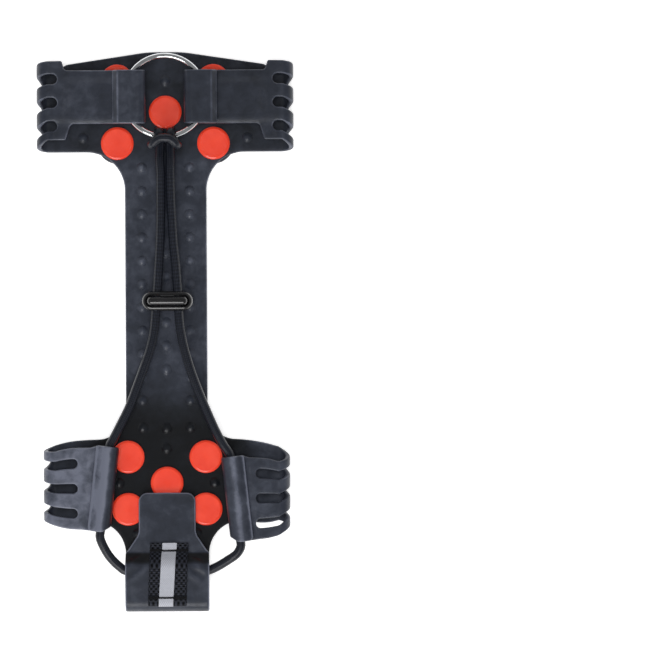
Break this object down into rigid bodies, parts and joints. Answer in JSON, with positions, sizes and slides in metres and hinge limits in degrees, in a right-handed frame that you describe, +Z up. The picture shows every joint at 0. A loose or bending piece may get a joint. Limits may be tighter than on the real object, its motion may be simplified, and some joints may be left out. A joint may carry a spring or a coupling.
{
  "type": "ice cleat",
  "caption": "Pull-on rubber ice cleat for a shoe, with studded forefoot and heel, toe straps on a ring, and an elastic heel cord with a cord lock.",
  "frame": {"origin": "on the ground under the middle of the cleat, at the height of the stud tips", "axes": "+Z up from the ground through the inner face, +Y towards the toe"},
  "size_m": [0.1334, 0.2908, 0.0321],
  "materials": {
    "rubber": "matte moulded dark blue-grey rubber",
    "tread_rubber": "matte moulded black rubber",
    "disc_plastic": "moulded red-orange plastic, satin",
    "collar_plastic": "moulded orange plastic, satin",
    "pin_steel": "turned zinc-plated steel",
    "carbide": "ground tungsten carbide",
    "ring_chrome": "bright chromed wire",
    "elastic_cord": "black braided jacket over rubber strands",
    "crimp_steel": "pressed steel ferrule",
    "lock_plastic": "moulded black acetal, glossy",
    "spring_steel": "drawn spring wire",
    "nylon_webbing": "black woven nylon webbing",
    "reflective_tape": "silver-grey retroreflective tape",
    "tack_thread": "black bar-tack thread"
  },
  "bodies": {
    "base": {"sole": "rubber", "tread_pad_front": "tread_rubber", "tread_pad_heel": "tread_rubber", "toe_fold_left": "rubber", "toe_strap_left": "rubber", "heel_fold_left": "rubber", "toe_fold_right": "rubber", "toe_strap_right": "rubber", "heel_fold_right": "rubber", "heel_tab_bend": "rubber", "stud_disc_1": "disc_plastic", "stud_disc_2": "disc_plastic", "stud_disc_3": "disc_plastic", "stud_disc_4": "disc_plastic", "stud_disc_5": "disc_plastic", "stud_disc_6": "disc_plastic", "stud_disc_7": "disc_plastic", "stud_disc_8": "disc_plastic", "stud_disc_9": "disc_plastic", "stud_disc_10": "disc_plastic", "stud_collar_1": "collar_plastic", "stud_collar_2": "collar_plastic", "stud_collar_3": "collar_plastic", "stud_collar_4": "collar_plastic", "stud_collar_5": "collar_plastic", "stud_collar_6": "collar_plastic", "stud_collar_7": "collar_plastic", "stud_collar_8": "collar_plastic", "stud_collar_9": "collar_plastic", "stud_collar_10": "collar_plastic", "stud_pins_front": "pin_steel", "carbide_tips_front": "carbide", "stud_pins_heel": "pin_steel", "carbide_tips_heel": "carbide", "cord_hitch": "elastic_cord", "cord_strand_left": "elastic_cord", "cord_strand_right": "elastic_cord", "cord_rear_left": "elastic_cord", "cord_rear_right": "elastic_cord", "cord_tail_left": "elastic_cord", "cord_tail_right": "elastic_cord"},
    "wing_left": {"heel_wing_left": "rubber", "cord_sleeve_left": "elastic_cord"},
    "wing_right": {"heel_wing_right": "rubber", "cord_sleeve_right": "elastic_cord"},
    "tab": {"heel_tab": "rubber", "heel_webbing": "nylon_webbing", "reflective_tape": "reflective_tape", "bar_tacks": "tack_thread", "cord_keeper": "nylon_webbing", "cord_tab": "elastic_cord", "cord_crimp": "crimp_steel"},
    "ring": {"toe_ring": "ring_chrome"},
    "lock": {"cord_lock_body": "lock_plastic", "cord_lock_spring": "spring_steel"},
    "button": {"cord_lock_button": "lock_plastic"}
  },
  "joints": [
    {"name": "heel_tab_fold", "type": "hinge", "parent": "base", "child": "tab", "pos_m": [0, -0.1396, 0.013], "axis": [1, 0, 0], "range_deg": [0, 90], "deforming": ["heel_tab_bend", "cord_tail_left", "cord_tail_right"]},
    {"name": "heel_wing_left_fold", "type": "hinge", "parent": "base", "child": "wing_left", "pos_m": [-0.0582, -0.0812, 0.013], "axis": [0, -1, 0], "range_deg": [0, 90], "deforming": ["heel_fold_left", "cord_rear_left", "cord_tail_left"]},
    {"name": "heel_wing_right_fold", "type": "hinge", "parent": "base", "child": "wing_right", "pos_m": [0.0582, -0.0868, 0.013], "axis": [0, 1, 0], "range_deg": [0, 90], "deforming": ["heel_fold_right", "cord_rear_right", "cord_tail_right"]},
    {"name": "ring_turn", "type": "hinge", "parent": "base", "child": "ring", "pos_m": [0, 0.1221, 0.02045], "axis": [0, 0, 1], "continuous": true},
    {"name": "lock_slide", "type": "slide", "parent": "base", "child": "lock", "axis": [0, 1, 0], "range_m": [-0.006, 0.06]},
    {"name": "lock_press", "type": "slide", "parent": "lock", "child": "button", "axis": [0, 0, -1], "range_m": [0, 0.002], "stiffness_N_per_m": 800, "springref_m": -0.001, "deforming": ["cord_lock_spring"]}
  ]
}
